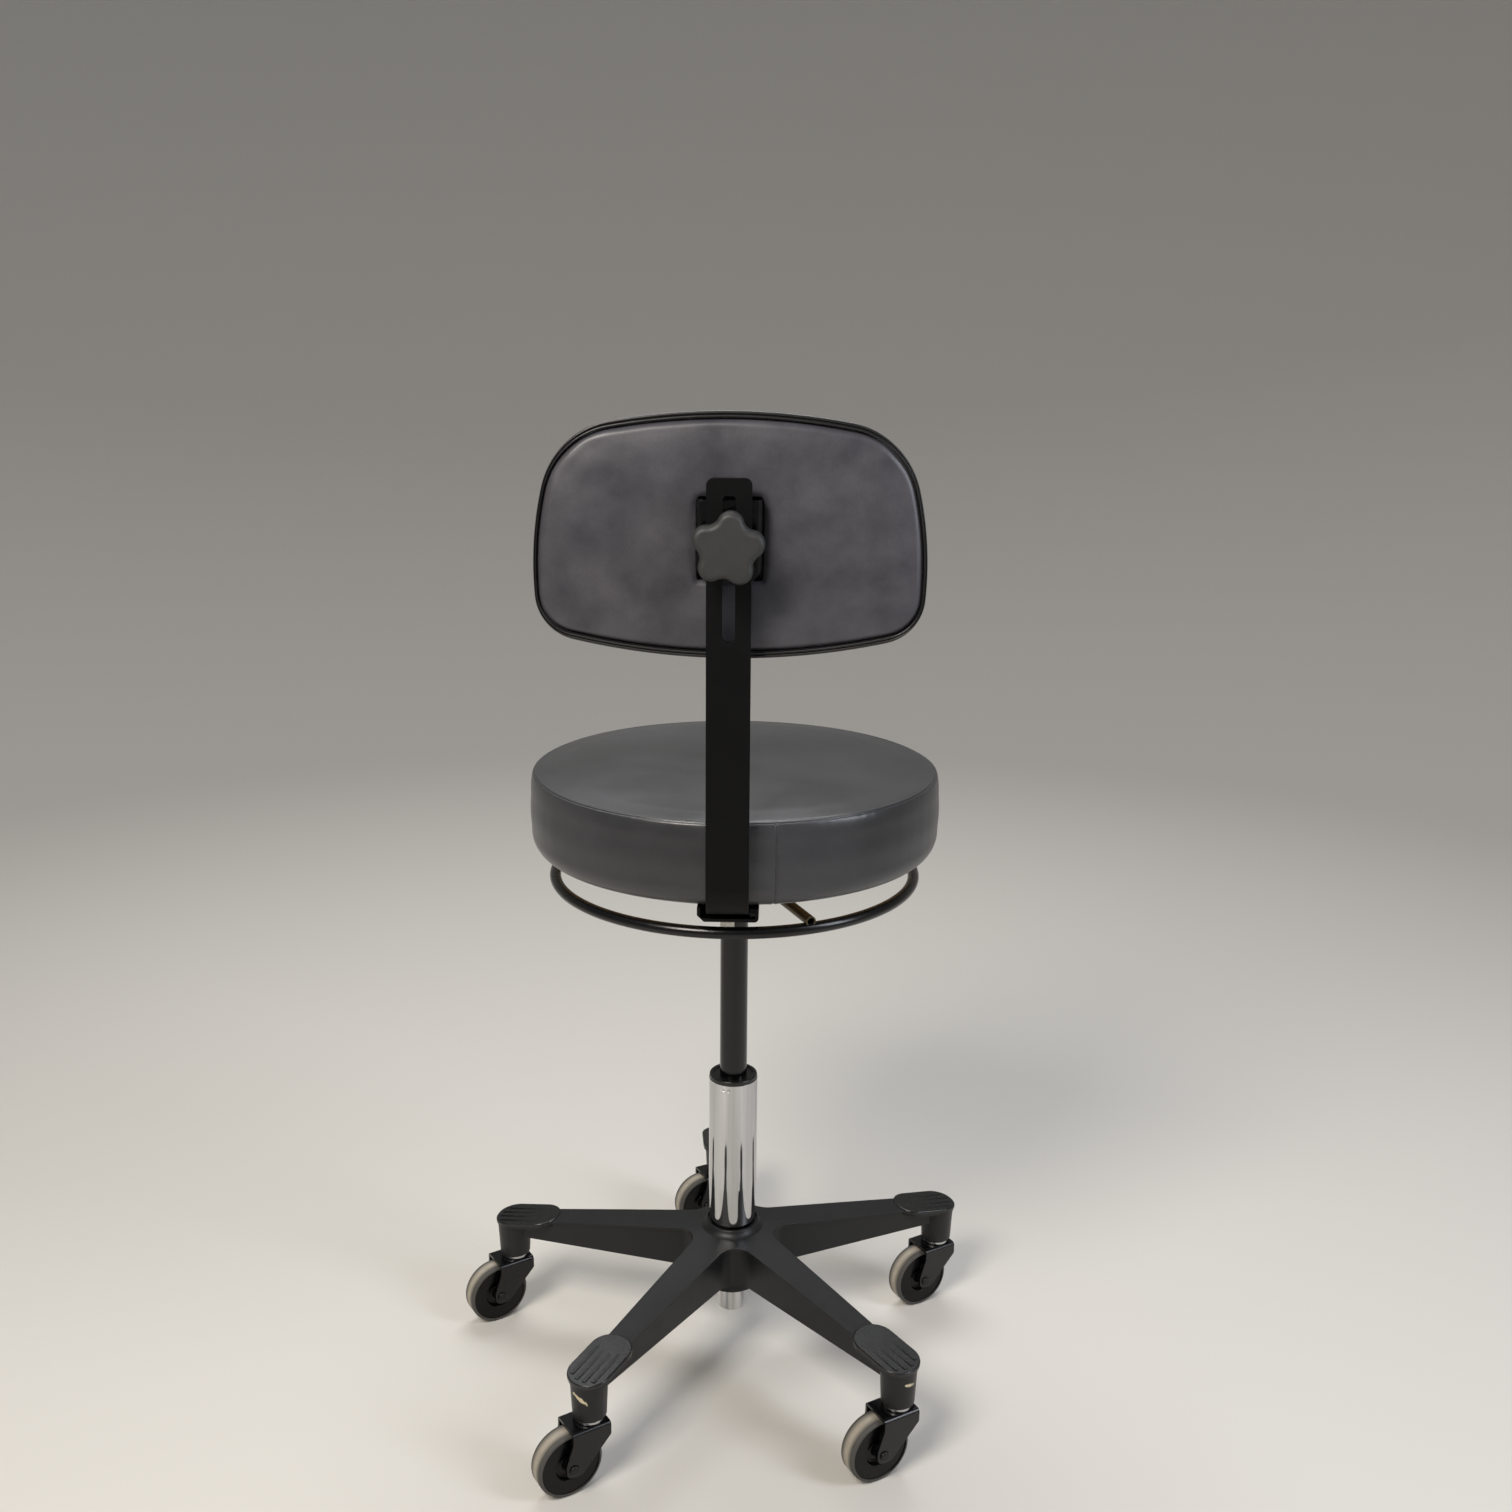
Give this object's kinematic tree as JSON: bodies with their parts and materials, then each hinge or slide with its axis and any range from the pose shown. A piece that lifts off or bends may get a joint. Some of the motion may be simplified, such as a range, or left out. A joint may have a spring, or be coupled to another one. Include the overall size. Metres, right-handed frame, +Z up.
{
  "type": "drafting chair",
  "caption": "Armless swivelling drafting chair with a round padded seat, a small height-adjustable backrest on a bent bar, a release ring and a five-arm castor base.",
  "frame": {"origin": "on the floor, on the axis of the gas column", "axes": "+Z up along the column; the sitter faces -Y and the backrest is at +Y; +X is to the sitter's left"},
  "size_m": [0.5432, 0.522, 0.993],
  "materials": {
    "base_nylon": "satin",
    "cap_plastic": "satin",
    "column_chrome": "polished",
    "bush_plastic": "satin",
    "stage_paint": "gloss",
    "rod_steel": "satin",
    "bearing_steel": "satin",
    "stop_rubber": "matte",
    "race_zinc": "satin",
    "fork_paint": "gloss",
    "wheel_plastic": "gloss",
    "tread_rubber": "matte",
    "plate_paint": "satin",
    "screw_zinc": "satin",
    "plywood": "matte",
    "seat_vinyl": "satin",
    "back_vinyl": "satin",
    "trim_vinyl": "satin",
    "ring_paint": "satin",
    "spoke_zinc": "satin",
    "bar_paint": "satin",
    "bracket_paint": "satin",
    "fastener_black": "satin",
    "knob_plastic": "matte",
    "insert_brass": "satin"
  },
  "bodies": {
    "base": {"star_base": "base_nylon", "toe_caps": "cap_plastic", "column_tube": "column_chrome", "guide_bush": "bush_plastic", "thrust_bearing": "bearing_steel", "castor_stems": "race_zinc", "castor_races": "race_zinc", "race_balls": "bearing_steel"},
    "spindle": {"piston_rod": "rod_steel", "retaining_clip": "bearing_steel", "bump_stop": "stop_rubber"},
    "seat": {"gas_cylinder": "stage_paint", "seat_plate": "plate_paint", "seat_screws": "screw_zinc", "seat_board": "plywood", "seat_cushion": "seat_vinyl", "tilt_bracket": "plate_paint", "tilt_pin": "bearing_steel", "back_bar": "bar_paint", "bar_channel": "bar_paint", "bar_bolts": "screw_zinc", "tee_nuts": "screw_zinc", "clamp_grub_screw": "fastener_black", "clamp_lock_nut": "fastener_black"},
    "ring": {"release_ring": "ring_paint", "ring_spokes": "spoke_zinc", "ring_hub": "ring_paint", "release_lever": "plate_paint"},
    "valve": {"valve_button": "rod_steel"},
    "backrest": {"back_board": "plywood", "rear_pad": "back_vinyl", "front_cushion": "back_vinyl", "edge_trim": "trim_vinyl", "back_bracket": "bracket_paint", "bracket_bolts": "screw_zinc", "clamp_stud": "fastener_black"},
    "washer": {"clamp_washer": "fastener_black"},
    "knob": {"clamp_knob": "knob_plastic", "knob_insert": "insert_brass"},
    "castor_1": {"castor_fork_1": "fork_paint", "castor_axle_1": "fork_paint"},
    "wheel_1": {"wheel_core_1": "wheel_plastic", "wheel_tread_1": "tread_rubber"},
    "castor_2": {"castor_fork_2": "fork_paint", "castor_axle_2": "fork_paint"},
    "wheel_2": {"wheel_core_2": "wheel_plastic", "wheel_tread_2": "tread_rubber"},
    "castor_3": {"castor_fork_3": "fork_paint", "castor_axle_3": "fork_paint"},
    "wheel_3": {"wheel_core_3": "wheel_plastic", "wheel_tread_3": "tread_rubber"},
    "castor_4": {"castor_fork_4": "fork_paint", "castor_axle_4": "fork_paint"},
    "wheel_4": {"wheel_core_4": "wheel_plastic", "wheel_tread_4": "tread_rubber"},
    "castor_5": {"castor_fork_5": "fork_paint", "castor_axle_5": "fork_paint"},
    "wheel_5": {"wheel_core_5": "wheel_plastic", "wheel_tread_5": "tread_rubber"}
  },
  "joints": [
    {"name": "seat_swivel", "type": "hinge", "parent": "base", "child": "spindle", "pos_m": [0, 0, 0.3], "axis": [0, 0, 1], "continuous": true},
    {"name": "seat_lift", "type": "slide", "parent": "spindle", "child": "seat", "axis": [0, 0, 1], "range_m": [-0.19, 0]},
    {"name": "ring_tilt", "type": "hinge", "parent": "seat", "child": "ring", "pos_m": [0, 0.045, 0.549], "axis": [1, 0, 0], "range_deg": [0, 3], "stiffness_Nm_per_rad": 60, "springref_deg": -2.86},
    {"name": "valve_press", "type": "slide", "parent": "seat", "child": "valve", "axis": [0, 0, -1], "range_m": [0, 0.0025]},
    {"name": "back_height", "type": "slide", "parent": "seat", "child": "backrest", "axis": [0, 0, 1], "range_m": [-0.072, 0.034]},
    {"name": "knob_travel", "type": "slide", "parent": "backrest", "child": "washer", "axis": [0, 1, 0], "range_m": [0, 0.0025]},
    {"name": "knob_turn", "type": "hinge", "parent": "washer", "child": "knob", "pos_m": [0, 0.23, 0.887], "axis": [0, 1, 0], "range_deg": [0, 720.1]},
    {"name": "castor_swivel_1", "type": "hinge", "parent": "base", "child": "castor_1", "pos_m": [0.0236, -0.24738, 0.07], "axis": [0, 0, 1], "continuous": true},
    {"name": "wheel_roll_1", "type": "hinge", "parent": "castor_1", "child": "wheel_1", "pos_m": [0.04522, -0.23564, 0.03265], "axis": [-0.4772, 0.8788, 0], "continuous": true},
    {"name": "castor_swivel_2", "type": "hinge", "parent": "base", "child": "castor_2", "pos_m": [0.24256, -0.054, 0.07], "axis": [0, 0, 1], "continuous": true},
    {"name": "wheel_roll_2", "type": "hinge", "parent": "castor_2", "child": "wheel_2", "pos_m": [0.26284, -0.04006, 0.03265], "axis": [-0.5664, 0.8241, 0], "continuous": true},
    {"name": "castor_swivel_3", "type": "hinge", "parent": "base", "child": "castor_3", "pos_m": [0.12631, 0.21401, 0.07], "axis": [0, 0, 1], "continuous": true},
    {"name": "wheel_roll_3", "type": "hinge", "parent": "castor_3", "child": "wheel_3", "pos_m": [0.14682, 0.22758, 0.03265], "axis": [-0.5519, 0.8339, 0], "continuous": true},
    {"name": "castor_swivel_4", "type": "hinge", "parent": "base", "child": "castor_4", "pos_m": [-0.1645, 0.18626, 0.07], "axis": [0, 0, 1], "continuous": true},
    {"name": "wheel_roll_4", "type": "hinge", "parent": "castor_4", "child": "wheel_4", "pos_m": [-0.1433, 0.19875, 0.03265], "axis": [-0.5075, 0.8616, 0], "continuous": true},
    {"name": "castor_swivel_5", "type": "hinge", "parent": "base", "child": "castor_5", "pos_m": [-0.22798, -0.09889, 0.07], "axis": [0, 0, 1], "continuous": true},
    {"name": "wheel_roll_5", "type": "hinge", "parent": "castor_5", "child": "wheel_5", "pos_m": [-0.207, -0.08604, 0.03265], "axis": [-0.5225, 0.8526, 0], "continuous": true}
  ],
  "couplings": [
    {"joint": "valve_press", "follows": "ring_tilt", "m_per_rad": 0.045},
    {"joint": "knob_turn", "follows": "knob_travel", "rad_per_m": 5026.5}
  ]
}
